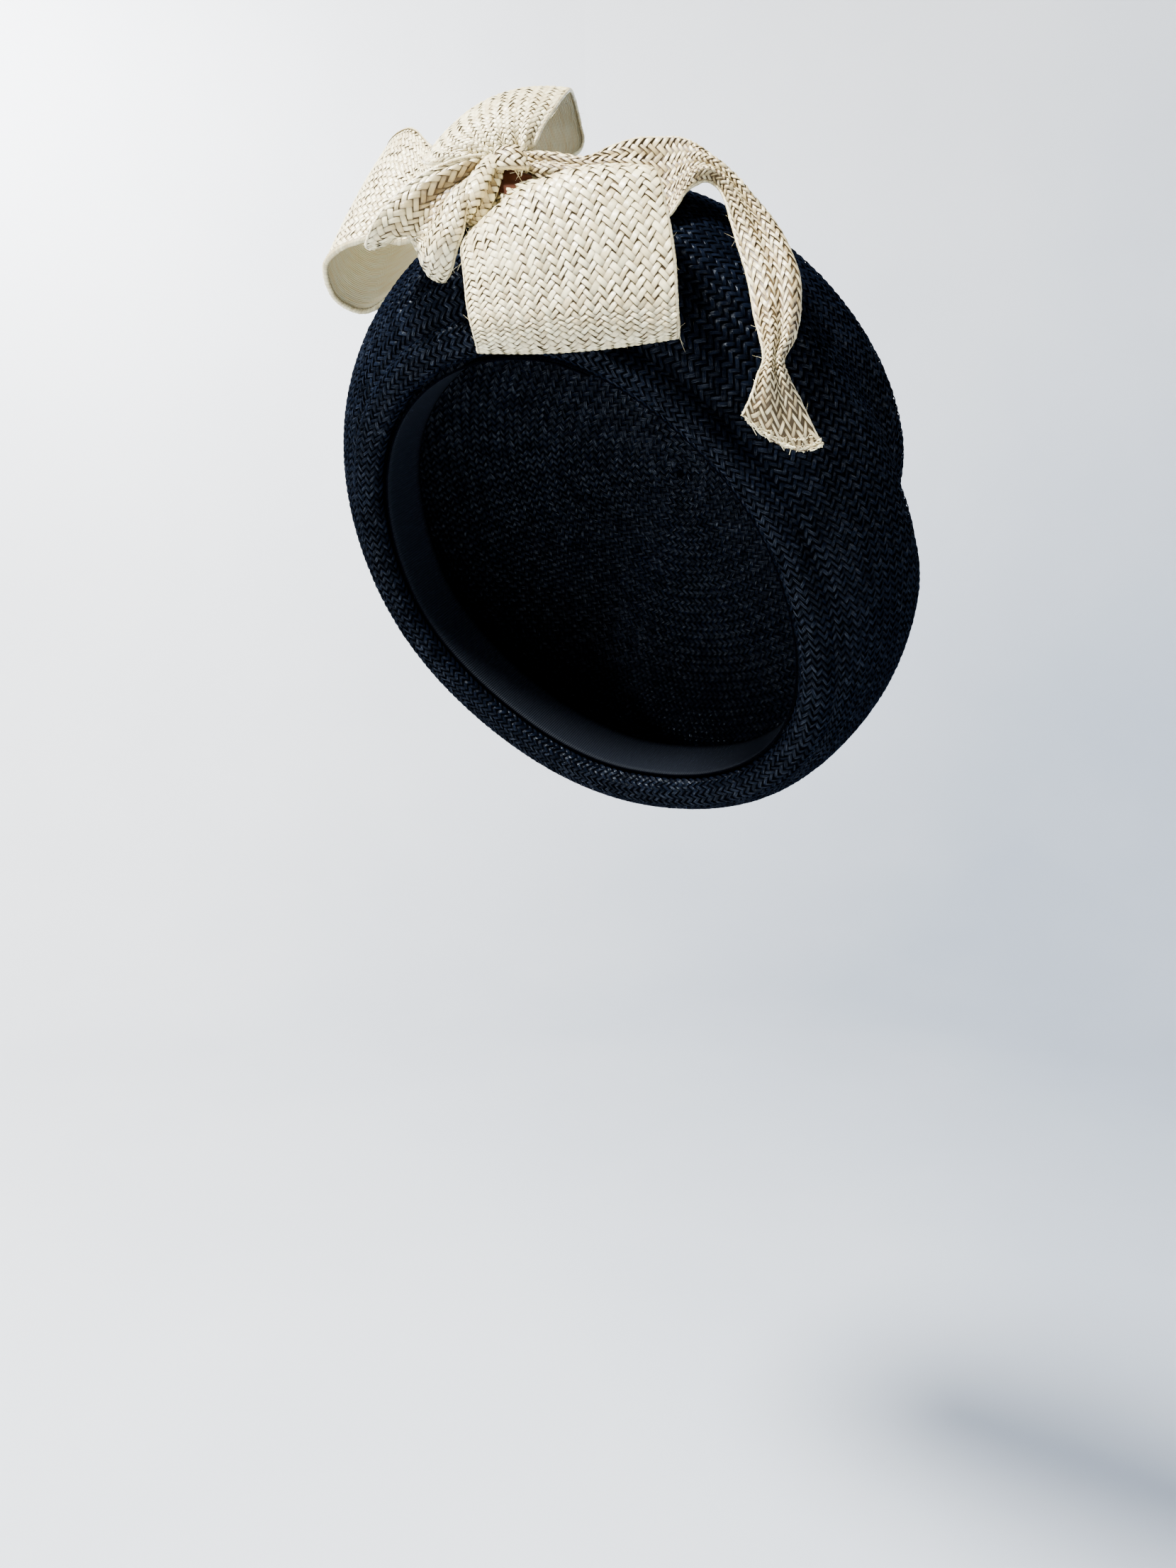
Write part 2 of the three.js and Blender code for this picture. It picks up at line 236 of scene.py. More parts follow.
# %% [markdown]
# ## Straw
#
# Each flat straw is shiny along its length, with fine fibre lines, and no two have quite the
# same tone. Where a straw dives under its neighbour it is in shade. All of that could be painted
# in an image, but worked out from numbers it stays sharp at any distance: the tone is a random
# number stored with each straw, the lines are noise stretched along it, and the shade is a
# function of how near its ends a point lies.


# %% Finishes for the straw
def straw_finish(name, dark, light, shade, roughness, lines, gloss, polish=None, sheen=None):
    finish = Finish(name)
    along, across = finish.coordinates()
    tone = finish.attribute("tone")
    fibre = finish.noise(finish.vector(along * 0.5 + tone * 61.0, across * 6.0, tone * 17.0), 1.0)
    patch = finish.noise(finish.position(), 30.0, 2.0)
    mixed = finish.mix(dark, light, (tone * 0.7 + fibre * 0.6 + patch * 0.5 - 0.27).limited())
    tucked = (abs(along) ** 3.5 * 0.95 + abs(across) ** 5.0 * 0.6).limited()
    # Painted shade: a straw whose tone was pushed below zero is mixed further towards the shade
    # colour.
    aged = (tone * -0.6 - 0.06).limited()
    colour = finish.mix(mixed, shade, (tucked + aged).limited())
    rough = (roughness - 0.06 + fibre * 0.12 + tucked * 0.25).limited()
    sockets = {
        "Base Color": colour,
        "Roughness": rough,
        "Normal": finish.bump(fibre, lines, 0.0002),
        "Specular IOR Level": gloss,
    }
    if polish is None:
        return finish.surface(sockets)
    glint = ((fibre * 10.0 - 5.4).limited() * 1.6 + 0.22) * (1 - tucked) * (0.5 + tone)
    return finish.surface(sockets, (glint * polish).limited(), sheen)


def backing_finish(name, gap_shade, lining, ribs, roughness, gloss):
    """The cloth under the straws: painted dark as shade where straws lie on it, finely ribbed where
    it shows.
    """
    finish = Finish(name)
    along, across = finish.coordinates()
    covered = finish.attribute("tone")
    rib = (across * (2 * math.pi * ribs)).sine() * 0.5 + 0.5
    grain = finish.noise(finish.vector(along * 16.0, across * ribs * 0.5), 1.0)
    pale = finish.mix(lining[0], lining[1], (rib * 0.4 + grain * 1.6 - 0.4).limited())
    return finish.surface(
        {
            "Base Color": finish.mix(pale, gap_shade, covered),
            "Roughness": (roughness + grain * 0.12).limited(),
            "Normal": finish.bump((rib * 0.6 + grain * 0.4) * (1 - covered), 0.9, 0.0005),
            "Specular IOR Level": gloss,
        }
    )


IVORY = straw_finish(
    "ivory_straw",
    dark=(0.55, 0.43, 0.21, 1),
    light=(1.0, 0.92, 0.58, 1),
    shade=(0.14, 0.09, 0.035, 1),
    roughness=0.22,
    lines=0.6,
    gloss=0.65,
)
IVORY_BACKING = backing_finish(
    "ivory_backing",
    gap_shade=(0.10, 0.065, 0.028, 1),
    lining=((0.90, 0.74, 0.42, 1), (1.0, 0.98, 0.76, 1)),
    ribs=90,
    roughness=0.45,
    gloss=0.4,
)
NAVY = straw_finish(
    "navy_straw",
    dark=(0.0008, 0.0012, 0.0022, 1),
    light=(0.0024, 0.0042, 0.0100, 1),
    shade=(0.0004, 0.0006, 0.0010, 1),
    roughness=0.14,
    lines=0.6,
    gloss=0.0,
    polish=0.015,
    sheen=(0.76, 0.87, 1.0, 1),
)
NAVY_BACKING = backing_finish(
    "navy_backing",
    gap_shade=(0.0008, 0.001, 0.002, 1),
    lining=((0.0012, 0.0015, 0.003, 1), (0.003, 0.004, 0.007, 1)),
    ribs=90,
    roughness=0.7,
    gloss=0.0,
)

# %% [markdown]
# ## Sheets and their straws
#
# Every cloth piece is described by a grid of points: one way runs along the straws' columns, the
# other across them. From the grid any place on the sheet and its outward direction are read off.
# The straws lie in columns, slanted to the left in one and to the right in the next, which gives
# the chevrons of plaited straw. A texture could suggest them, but the outline would stay smooth,
# so each straw is a small arched patch of its own whose ends dive under the next ones.

# %% A sheet that can be read anywhere
STRAW_ALONG = 5
STRAW_ACROSS = 3
REACH = 0.54
HALF_WIDTH = 0.275
STRAW_LOW = 0.15


class Sheet:
    """A grid of points in millimetres, read by two numbers from 0 to 1."""

    def __init__(self, grid, closed=False):
        self.grid = grid
        self.closed = closed
        along = np.gradient(grid, axis=0)
        if closed:
            along[0] = along[-1] = grid[1] - grid[-2]
        normal = np.cross(along, np.gradient(grid, axis=1))
        length = np.linalg.norm(normal, axis=2, keepdims=True)
        self.normal = normal / np.maximum(length, 1e-9)

    def read(self, values, u, v):
        rows, columns = self.grid.shape[:2]
        u = u % 1.0 if self.closed else np.clip(u, 0, 1)
        x = np.clip(u * (rows - 1), 0, rows - 1.0001)
        y = np.clip(np.clip(v, 0, 1) * (columns - 1), 0, columns - 1.0001)
        i, j = x.astype(int), y.astype(int)
        f, g = (x - i)[..., None], (y - j)[..., None]
        low = values[i, j] * (1 - g) + values[i, j + 1] * g
        high = values[i + 1, j] * (1 - g) + values[i + 1, j + 1] * g
        return low * (1 - f) + high * f

    def place(self, u, v, height=0.0):
        height = np.asarray(height)[..., None] if np.ndim(height) else height
        return self.read(self.grid, u, v) + self.read(self.normal, u, v) * height

    def length(self, v=0.5):
        line = self.place(np.linspace(0, 1, 400), np.full(400, v))
        return float(np.linalg.norm(np.diff(line, axis=0), axis=1).sum())

    def lifted(self, height):
        return Sheet(self.grid + self.normal * height, self.closed)

    def flipped(self):
        return Sheet(self.grid[:, ::-1], self.closed)


# %% [markdown]
# ### From numbers to pieces
#
# A sheet is only numbers until it becomes a mesh, which is a list of points and a list of faces
# that name their corners. Adding them one by one with mesh tools would take minutes for this many
# straws, so whole arrays are handed over at once. Each point also carries a place on its straw and
# a tone, which the finishes read.

# %% Meshes and pieces
def make_mesh(name, points, quads, uv=None, tone=None):
    mesh = bpy.data.meshes.new(name)
    mesh.vertices.add(len(points))
    mesh.vertices.foreach_set("co", (points * MM).astype(np.float32).ravel())
    mesh.loops.add(quads.size)
    mesh.loops.foreach_set("vertex_index", quads.astype(np.int32).ravel())
    mesh.polygons.add(len(quads))
    mesh.polygons.foreach_set("loop_start", np.arange(0, quads.size, 4, dtype=np.int32))
    if uv is not None:
        layer = mesh.uv_layers.new(name="UVMap")
        layer.data.foreach_set("uv", uv[quads.ravel()].astype(np.float32).ravel())
    if tone is not None:
        stored = mesh.attributes.new("tone", "FLOAT", "POINT")
        stored.data.foreach_set("value", tone.astype(np.float32))
    mesh.update(calc_edges=True)
    mesh.validate()
    mesh.shade_smooth()
    return mesh


def make_piece(mesh, material, node):
    piece = bpy.data.objects.new(mesh.name, mesh)
    bpy.context.collection.objects.link(piece)
    piece.data.materials.append(material)
    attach(piece, "root")
    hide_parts(node)
    print(piece.name, "has", len(mesh.polygons), "faces")
    return piece


def grid_quads(rows, columns):
    corner = np.arange(rows * columns).reshape(rows, columns)
    return np.stack(
        [corner[:-1, :-1], corner[1:, :-1], corner[1:, 1:], corner[:-1, 1:]], axis=-1
    ).reshape(-1, 4)


# %% [markdown]
# ### The straws
#
# A straw is about two and a half times as long as it is wide, it bulges in the middle where it
# passes over its neighbours, and it dives at both ends where it passes under. Copies of one
# modelled straw would all be alike. Here every straw is worked out at once from its place on the
# sheet, and a little chance changes its length, width, turn and height, as in plaiting by hand.

# %% Straws laid over a sheet
def patches(points, tone, uv):
    """Points, faces, tones and places of many patches, each a grid of the same size."""
    count, rows, columns = points.shape[:3]
    one = grid_quads(rows, columns)
    quads = (one[None] + (np.arange(count) * rows * columns)[:, None, None]).reshape(-1, 4)
    tones = np.repeat(tone, rows * columns)
    return points.reshape(-1, 3), quads, np.tile(uv.reshape(-1, 2), (count, 1)), tones


def straws(sheet, u, v, pitch, column, lean, rng, rise=0.72, along=STRAW_ALONG, slim=1.0, aged=0.0):
    """One slanted, arched straw at each (u, v); pitch and column are the steps in u and v."""
    a = np.linspace(-1, 1, along)[None, :, None]
    b = np.linspace(-1, 1, STRAW_ACROSS)[None, None, :]
    chance = rng.normal(0, 1, (6, len(u)))[:, :, None, None]
    side = lean[:, None, None]
    reach = REACH * (1 + 0.06 * chance[0])
    half = HALF_WIDTH * np.broadcast_to(slim, len(u))[:, None, None] * (1 + 0.11 * chance[1])
    turn = 0.05 * chance[2] * b
    down = (reach * a - side * half * b * 0.66) * pitch[:, None, None]
    over = (side * (REACH + 0.08) * a + half * b + side * turn * 0.5) * column[:, None, None]
    arch = STRAW_LOW + rise * (1 - a**2) ** 0.7 * (1 - 0.35 * b**2)
    arch = arch + 0.1 * chance[3] * b + 0.07 * chance[4] * a + 0.04 * chance[5]
    points = sheet.place(u[:, None, None] + down, v[:, None, None] + over, arch)
    places = np.stack(np.broadcast_arrays(a[0], b[0]), axis=-1)
    # A straw's tone is random, lowered by the painted shade it is given.
    return patches(points, rng.random(len(u)) - aged, places)


def woven_piece(name, parts, material, node):
    """One piece from several sets of points, faces, places and tones."""
    points, quads, uvs, tones, start = [], [], [], [], 0
    for part in parts:
        points.append(part[0])
        quads.append(part[1] + start)
        uvs.append(part[2])
        tones.append(part[3])
        start += len(part[0])
    mesh = make_mesh(name, *(np.concatenate(rows) for rows in (points, quads, uvs, tones)))
    return make_piece(mesh, material, node)


# %% [markdown]
# ## The crown
#
# The crown is a blocked dome, rounder at the shoulder than a ball, with its rim rolled under to
# the inside and a soft fold at the back left. For eight places round the hat, a table says how
# far out its rim and its widest line are and how high that line is, and a formula carries the
# section from the hem, round the roll, up the side and over the top. It could be sculpted, but
# with the CAD part's own numbers it keeps that part's size and form.

# %% The crown's outer face
CROWN_HEIGHT = 118
CROWN_TOP = {"left": 2, "back": -8}
CROWN_STRAW = 1.6
FULLNESS = 2.5
ROLL_RADIUS = 7.5
ROLL_FLAT = 67.5
CROWN_ROWS = {
    "rim": [121, 113, 104, 110, 124, 113, 106, 115],
    "widest": [150, 148, 139, 132, 134, 132, 134, 143],
    "waist": [52, 55, 58, 58, 52, 50, 50, 50],
}
FOLD_ROWS = {
    "turn": [70, 92, 110, 125, 139, 152, 168],
    "height": [44, 50, 57, 66, 78, 90, 101],
    "depth": [0, 3, 6, 9, 13, 9, 0],
    "spread": [10, 10, 10, 10, 10, 9, 8],
}
FOLD_START = 1.1


def around(column, turn):
    values = np.array(CROWN_ROWS[column], float)
    at = (turn % 360) / 360 * len(values)
    row = np.floor(at).astype(int)
    f = at - row
    a, b, c, d = (values[(row + k) % len(values)] for k in (-1, 0, 1, 2))
    smooth = 2 * b + (c - a) * f
    smooth = smooth + (2 * a - 5 * b + 4 * c - d) * f**2 + (3 * b - a - 3 * c + d) * f**3
    return np.clip(smooth / 2, np.minimum(b, c) - 10, np.maximum(b, c) + 10)


def smooth_crown(turn, level):
    """A point of the unfolded crown. Level 0 is the hem, 1 the rim, 2 the widest line, 3 the top."""
    rim, widest, waist = (around(name, turn) for name in ("rim", "widest", "waist"))
    flat = ROLL_RADIUS * math.sin(math.radians(ROLL_FLAT))
    roll = math.pi * (1 + np.clip(level, 0, 1))
    side = (np.clip(level, 1, 2) - 1) * math.pi / 2
    over = (np.clip(level, 2, 3) - 2) * math.pi / 2
    reach = np.select(
        [level < 1, level < 2],
        [
            rim - ROLL_RADIUS + ROLL_RADIUS * np.cos(roll),
            rim + (widest - rim) * np.sin(side) ** 0.9,
        ],
        widest * np.abs(np.cos(over)) ** (2 / FULLNESS),
    )
    height = np.select(
        [level < 1, level < 2],
        [
            np.maximum(0, ROLL_RADIUS * np.sin(roll) + flat),
            flat + (waist - flat) * (1 - np.cos(side)) ** 0.8,
        ],
        waist + (CROWN_HEIGHT - waist) * np.sin(over) ** (2 / FULLNESS),
    )
    up = np.clip((height - waist) / (CROWN_HEIGHT - waist), 0, 1)
    angle = np.radians(turn)
    x = np.sin(angle) * reach + CROWN_TOP["left"] * up
    y = -np.cos(angle) * reach + CROWN_TOP["back"] * up
    return np.stack([x, y, height], axis=-1)


def crown_grid(levels, turns=361):
    turn, level = np.meshgrid(np.linspace(0, 360, turns), levels, indexing="ij")
    points = smooth_crown(turn, level)
    normal = Sheet(points, closed=True).normal
    height, depth, spread = (
        np.interp(turn, FOLD_ROWS["turn"], FOLD_ROWS[name]) for name in ("height", "depth", "spread")
    )
    off = (points[..., 2] - height) / spread
    dent = np.where(level > FOLD_START, depth * np.exp(-0.5 * off**2), 0)
    return (points - normal * dent[..., None]) @ HAT_TO_FRAME.T


CLOSING = 2.99999
fine = np.linspace(0, CLOSING, 1200)
climb = np.linalg.norm(np.diff(crown_grid(fine, 25), axis=1), axis=2).mean(axis=0)
CROWN_CLIMB = np.concatenate([[0], np.cumsum(climb)])
print("from the hem to the top of the crown is", round(CROWN_CLIMB[-1]), "mm over the outside")

# %% [markdown]
# ### The crown's shell and its plaiting
#
# The straws run in rings, parallel to the rim and closing in on the middle of the top. The rings
# are all about two and a quarter millimetres wide, so there are as many of them as fit on the
# way up, and each ring holds as many straws as its own round has room for. The inside is plaited
# in the same way, with simpler straws.

# %% Rings of straw on the crown
RING = 2.25
RING_PITCH = 3.4
STRAW_BED = 0.6
LAST_RING = 2.997


def crown_levels(start, stop, step):
    """Levels at equal steps along the way up, from one level to another."""
    low, high = np.interp([start, stop], fine, CROWN_CLIMB)
    count = max(2, round((high - low) / step) + 1)
    return np.interp(np.linspace(low, high, count), CROWN_CLIMB, fine)


def crown_sheet(start, stop, inset):
    levels = crown_levels(start, stop, RING / 2)
    return Sheet(crown_grid(levels), closed=True).lifted(-inset)


def rings(sheet, rng, low=0.0, high=1.0, **straw):
    """Straws in rings over a sheet that closes round the crown, on a share of its way up."""
    steps = (sheet.grid.shape[1] - 1) / 2
    u, v, pitch, lean = [], [], [], []
    for ring in range(int(steps)):
        middle = (ring + 0.5) / steps
        if not low <= middle < high:
            continue
        count = max(5, round(sheet.length(middle) / RING_PITCH))
        shift = 0.5 * (ring % 2)
        u.append((np.arange(count) + shift) / count)
        v.append(np.full(count, middle))
        pitch.append(np.full(count, 1 / count))
        lean.append(np.full(count, 1.0 if ring % 2 else -1.0))
    u, v, pitch, lean = (np.concatenate(x) for x in (u, v, pitch, lean))
    return straws(sheet, u, v, pitch, np.full(len(u), 1 / steps), lean, rng, **straw)


def shell(name, outer, inner, closed, covered=(1, 1)):
    """A closed wall between two faces with the same grid, and whether straws cover each face."""
    rows, columns = outer.grid.shape[:2]
    points = np.concatenate([outer.grid.reshape(-1, 3), inner.grid.reshape(-1, 3)])
    front = grid_quads(rows, columns)
    back = front[:, ::-1] + rows * columns
    corner = np.arange(rows * columns).reshape(rows, columns)
    edges = [corner[:, 0], corner[:, -1][::-1]]
    if not closed:
        edges += [corner[-1], corner[0][::-1]]
    far = rows * columns
    walls = [
        np.stack([line[1:], line[:-1], line[:-1] + far, line[1:] + far], axis=1) for line in edges
    ]
    quads = np.concatenate([front, back] + walls)
    steps = np.meshgrid(np.linspace(0, 1, rows), np.linspace(0, 1, columns), indexing="ij")
    uv = np.tile(np.stack(steps, -1).reshape(-1, 2), (2, 1))
    tone = np.repeat(np.array(covered, float), rows * columns)
    return make_mesh(name, points, quads, uv, tone)


rng = np.random.default_rng(11)
whole = Sheet(crown_grid(crown_levels(0, CLOSING, 2.5), 181), closed=True)
mesh = shell("crown_shell", whole.lifted(-0.5), whole.lifted(-1.1), closed=True)
make_piece(mesh, NAVY_BACKING, "crown")
outer = crown_sheet(0.02, LAST_RING, STRAW_BED)
for name, low, high in (("rim", 0.0, 0.25), ("side", 0.25, 0.6), ("top", 0.6, 1.0)):
    plait = rings(outer, rng, low, high, slim=0.8)
    woven_piece(f"crown_{name}_straws", [plait], NAVY, "crown")
inner = crown_sheet(1.0, LAST_RING, CROWN_STRAW - STRAW_BED).flipped()
for name, low, high in (("side", 0.0, 0.55), ("top", 0.55, 1.0)):
    plait = rings(inner, rng, low, high, along=4)
    woven_piece(f"crown_inner_{name}_straws", [plait], NAVY, "crown")

# %% [markdown]
# ## The bow's strips
#
# The bow is folded from strips of fine plaited straw, the widest of them cut 76 mm wide, and
# every loop runs out from the knot, turns over and comes back to it. A loop could be a bent plane
# with a modifier, but its width changes all the way: it is gathered to a few millimetres at the
# knot. So each loop is a table of sections, and a smooth curve carries the width from one section
# to the next. Near the knot the cloth that has no room goes into pleats.
#
# A row says how far right, away and up the middle of a section is, as seen from the bow's side,
# then how its width leans and swings, in degrees, how wide it is, and how far its middle bows out.

# %% Sections of the loops and the tail
BOW_WIDTH = 76
COLUMN = 2.65
PITCH = 3.45
GATHER = 0.5
PLEATS = {"depth": 5, "count": 2, "shift": 0.7}
# Painted shade in the fold beside the knot: how much the tone drops there, how far from the knot it
# reaches, and below which height of the pleats it starts.
VALLEY = {"aged": 2.2, "reach": 0.32, "from": 0.3}
LOOSE_END = {"start": 0.72, "over": 0.2}
FRONT_LOOP = [
    (-31.2, -34.9, 149.5, 20.5, -25, 4.5, 0),
    (-17.5, -52, 139.5, 13.5, -19.5, 36, 1),
    (-8, -61.5, 134, 14, -16, 62.5, 4),
    (-4.5, -70, 128, 15, -15.5, 74.5, 11),
    (-2, -76, 114.5, 13, -15.5, 76, 9),
    (0, -79.5, 100, 7.5, -16, 76.5, 6),
    (1.5, -80.5, 87, 1.5, -16, 75, 4),
    (2.5, -78.5, 81, -0.5, -16.5, 74.5, 3),
    (2.5, -72.5, 80.5, -1, -16.5, 75, 2),
    (2, -66.5, 83.5, -1, -16, 75.5, 1),
    (1.5, -64, 92.5, -1, -17.5, 74, 0),
    (-0.5, -61.5, 108.5, 3, -21, 65, 0),
    (-5.5, -56.5, 125.5, 5, -22.5, 50, 0),
    (-16.5, -47.5, 137.5, 2.5, -25.5, 25.5, 0),
    (-31.4, -36, 145, 11.5, -18, 5, 0),
]
TAIL = [
    (-28.5, -30, 157, -84.5, -16.5, 8, 0),
    (-16.5, -39.5, 156.5, -86.5, -21.5, 13.5, -1),
    (-7, -45, 154, -87, -25, 14, -2),
    (5.5, -49.5, 150, -87.5, -27, 15.5, -2),
    (16, -53.5, 149, -85.5, -23, 23, 0),
    (27, -55.5, 147.5, -83, -20.5, 31.5, 2),
    (35.5, -56.5, 145.5, -88.5, -18.5, 35, 3),
    (41, -57.5, 147, -95, -18, 29, 2),
    (46, -58, 148, -104.5, -13, 18, 0),
    (52, -59, 146.5, -124, -12, 9.5, -2),
    (58, -60.5, 141.5, -158, -7, 8, -2),
    (62.5, -63, 134.5, -180, 0, 11.5, -1),
    (66.5, -65.5, 126, -179.5, 4, 15.5, -1),
    (70, -69.5, 115.5, -179.5, 3, 18, -1),
    (73, -74.5, 102.5, -181, 3, 18.5, -2),
    (73.5, -79.5, 88, -183, 3.5, 16, -3),
    (73, -83, 78.5, -183.5, 0, 11.5, -3),
    (71.5, -85, 71.5, -184, 0, 7, -2),
    (71.5, -85, 66.5, -184.5, -2.5, 10.5, -2),
    (73, -83.5, 58.5, -187.5, -3, 18, -1),
    (75.5, -81.5, 48, -199.5, -2, 30.5, 0),
]
TOP_LOOP = [
    (-29, -28.5, 163.5, 14, -12, 5, 0),
    (-26.5, -34, 164, 9, -4, 22.5, -1),
    (-29, -31.5, 168.5, 17.5, -4.5, 38.5, -4),
    (-30.5, -26.5, 174, 22, -3, 53.5, -6),
    (-30.5, -15.5, 182.5, 23.5, -2.5, 63, -8),
    (-29, -1, 191.5, 22.5, -2, 63, -9),
    (-27, 12, 196, 18.5, 0, 61, -8),
    (-24.5, 20, 195, 11, 0, 58, -6),
    (-22, 21.5, 191, 5, -1, 54, -4),
    (-22.5, 12.5, 182.5, 2.5, -1.5, 41.5, -2),
    (-27.5, 0, 176, -3, -16.5, 14, 0),
]
LEFT_LOOP = [
    (-37, -21.5, 161.5, 75, 21, 8.5, 0),
    (-44, -11, 165.5, 86.5, 21, 17, -2),
    (-56, 8, 171, 84.5, 19, 29, -4),
    (-67, 22, 173.5, 81.5, 20, 52, -3),
    (-80, 28.5, 180, 75, 24, 66, -2),
    (-90.5, 34.5, 179.5, 71, 25, 73, -2),
    (-97.5, 44.5, 177.5, 70, 23.5, 78, -1),
    (-96.5, 55, 173, 74, 20.5, 85.5, 0),
    (-86.5, 60.5, 170, 77, 21, 87, 0),
    (-74, 57.5, 173, 78, 22, 77, 0),
    (-58.5, 36.5, 170, 78, 24.5, 46, 0),
    (-44.5, 0, 163.5, 72, 25.5, 9.5, 0),
]
MIDDLE_LOOP = [
    (-32, -39.5, 158, -82.5, -31.5, 7.5, 0),
    (-38.5, -44.5, 150, -45, -23.5, 17.5, 2),
    (-47, -48.5, 140.5, -36.5, -23.5, 27.5, 4),
    (-52.5, -49.5, 131.5, -27, -21.5, 36, 4),
    (-57, -47.5, 126, -21, -18.5, 38, 3),
    (-60.5, -41.5, 124.5, -24, -16, 38, 2),
    (-62, -33.5, 126.5, -29, -15.5, 33.5, 0),
    (-56.5, -30, 137.5, -40.5, -19.5, 22, 0),
    (-45, -28, 154.5, -61.5, -32, 9.5, 0),
]


def spline(points, at, power):
    """A smooth curve through points, read at numbers from 0 to 1, an equal share for each row."""
    points = np.asarray(points, float)
    ends = np.concatenate([[2 * points[0] - points[1]], points, [2 * points[-1] - points[-2]]])
    where = np.clip(np.asarray(at) * (len(points) - 1), 0, len(points) - 1 - 1e-9)
    k = where.astype(int)
    t = (where - k)[:, None]
    p0, p1, p2, p3 = (ends[k + n] for n in range(4))
    d0, d1, d2 = (
        np.maximum(np.linalg.norm(b - a, axis=1, keepdims=True), 1e-4) ** power
        for a, b in ((p0, p1), (p1, p2), (p2, p3))
    )
    m1 = ((p1 - p0) / d0 - (p2 - p0) / (d0 + d1) + (p2 - p1) / d1) * d1
    m2 = ((p2 - p1) / d1 - (p3 - p1) / (d1 + d2) + (p3 - p2) / d2) * d1
    return (
        (2 * t**3 - 3 * t**2 + 1) * p1
        + (t**3 - 2 * t**2 + t) * m1
        + (3 * t**2 - 2 * t**3) * p2
        + (t**3 - t**2) * m2
    )


def strip_sheet(rows, cut, pleats=None, gathers=5, tip=0, along=241, across=97):
    """The middle face of a strip: its sections, its folds, and gathers where it has no room."""
    table = np.array(rows, float)
    at = np.linspace(0, 1, along)
    middle = spline(table[:, :3], at, 0.5)
    lean, swing, width = np.radians(table[:, 3]), np.radians(table[:, 4]), table[:, 5]
    flat = np.cos(swing)
    half = np.stack([flat * np.cos(lean), np.sin(swing), flat * np.sin(lean)], axis=1)
    half = spline(half * width[:, None] / 2, at, 0.0)
    out = np.cross(np.gradient(middle, axis=0), half)
    out = out / np.linalg.norm(out, axis=1, keepdims=True)
    v = np.linspace(-1, 1, across)[None]
    full = 2 * np.linalg.norm(half, axis=1)[:, None]
    spare = np.clip(1 - full / (cut * 0.85), 0, 1)
    lift = spline(table[:, 6:7], at, 0.0) * (1 - v**2)
    lift = lift + GATHER * spare**1.6 * full / gathers * np.sin(math.pi * gathers * (v + 0.37))
    if pleats:
        ripple = np.sin(math.pi * (pleats["count"] * (v + 1) / 2 + pleats["shift"]))
        ripple = np.where(ripple < 0, 1.6 * ripple, ripple)
        lift = lift + pleats["depth"] * ripple * np.sin(math.pi * at[:, None]) ** 0.5
    grid = middle[:, None] + half[:, None] * v[..., None] + out[:, None] * lift[..., None]
    round_end = tip * np.clip(at * 10 - 9, 0, 1)[:, None] ** 2 * (1 - v**2)
    ahead = middle[-1] - middle[-9]
    grid = grid + ahead / np.linalg.norm(ahead) * round_end[..., None]
    return Sheet(grid @ BOW_TO_FRAME.T)


def columns_of_straw(
    sheet, rng, width, side=1, aged=0.0, slim=1.0, loose=0.0, shaded=None, **straw
):
    """Columns of straws along a strip that was cut width mm wide, on one side of it."""
    lines = max(3, round(width / COLUMN))
    count = round(sheet.length() / PITCH)
    line, row = np.meshgrid(np.arange(lines), np.arange(count), indexing="ij")
    line, row = line.ravel(), row.ravel()
    u = (row + 0.25 + 0.5 * (line % 2)) / count
    v = (line + 0.5) / lines
    lean = np.where(line % 2, 1.0, -1.0) * side
    end = np.clip((u - LOOSE_END["start"]) / LOOSE_END["over"], 0, 1)
    slim = slim * (1 - loose * end)
    # A straw deep in a fold or crease gets extra painted shade.
    aged = aged + shaded(u, v) if shaded else aged
    face = sheet if side > 0 else sheet.flipped()
    v = v if side > 0 else 1 - v
    size = np.full(len(u), 1.0)
    return straws(face, u, v, size / count, size / lines, lean, rng, aged=aged, slim=slim, **straw)


def edge_straws(sheet, v, rng, radius=0.75, step=1.8):
    """The turned edge of a strip: short straws that wrap round from one face to the other."""
    count = round(sheet.length(v) / step)
    u = (np.arange(count) + 0.5) / count
    a = np.linspace(-1, 1, STRAW_ALONG)[None, :, None]
    b = np.linspace(-1, 1, STRAW_ACROSS)[None, None, :]
    round_it = a * math.radians(115)
    place = u[:, None, None] + (0.55 * a + 0.62 * b) / count
    edge = np.full(place.shape, v)
    inside = np.full(place.shape, abs(v - 0.02))
    outward = sheet.place(place, edge) - sheet.place(place, inside)
    outward = outward / np.maximum(np.linalg.norm(outward, axis=-1, keepdims=True), 1e-6)
    normal = sheet.read(sheet.normal, place, edge)
    size = (radius * (1 + 0.18 * (1 - b**2)) + rng.normal(0, 0.05, (count, 1, 1)))[..., None]
    turned = outward * np.cos(round_it)[..., None] + normal * np.sin(round_it)[..., None]
    points = sheet.place(place, edge) + turned * size - outward * 0.3
    if v > 0.5:
        points = points[:, ::-1]
    uv = np.stack(np.broadcast_arrays(a[0], b[0]), axis=-1)
    return patches(points, rng.random(count), uv)


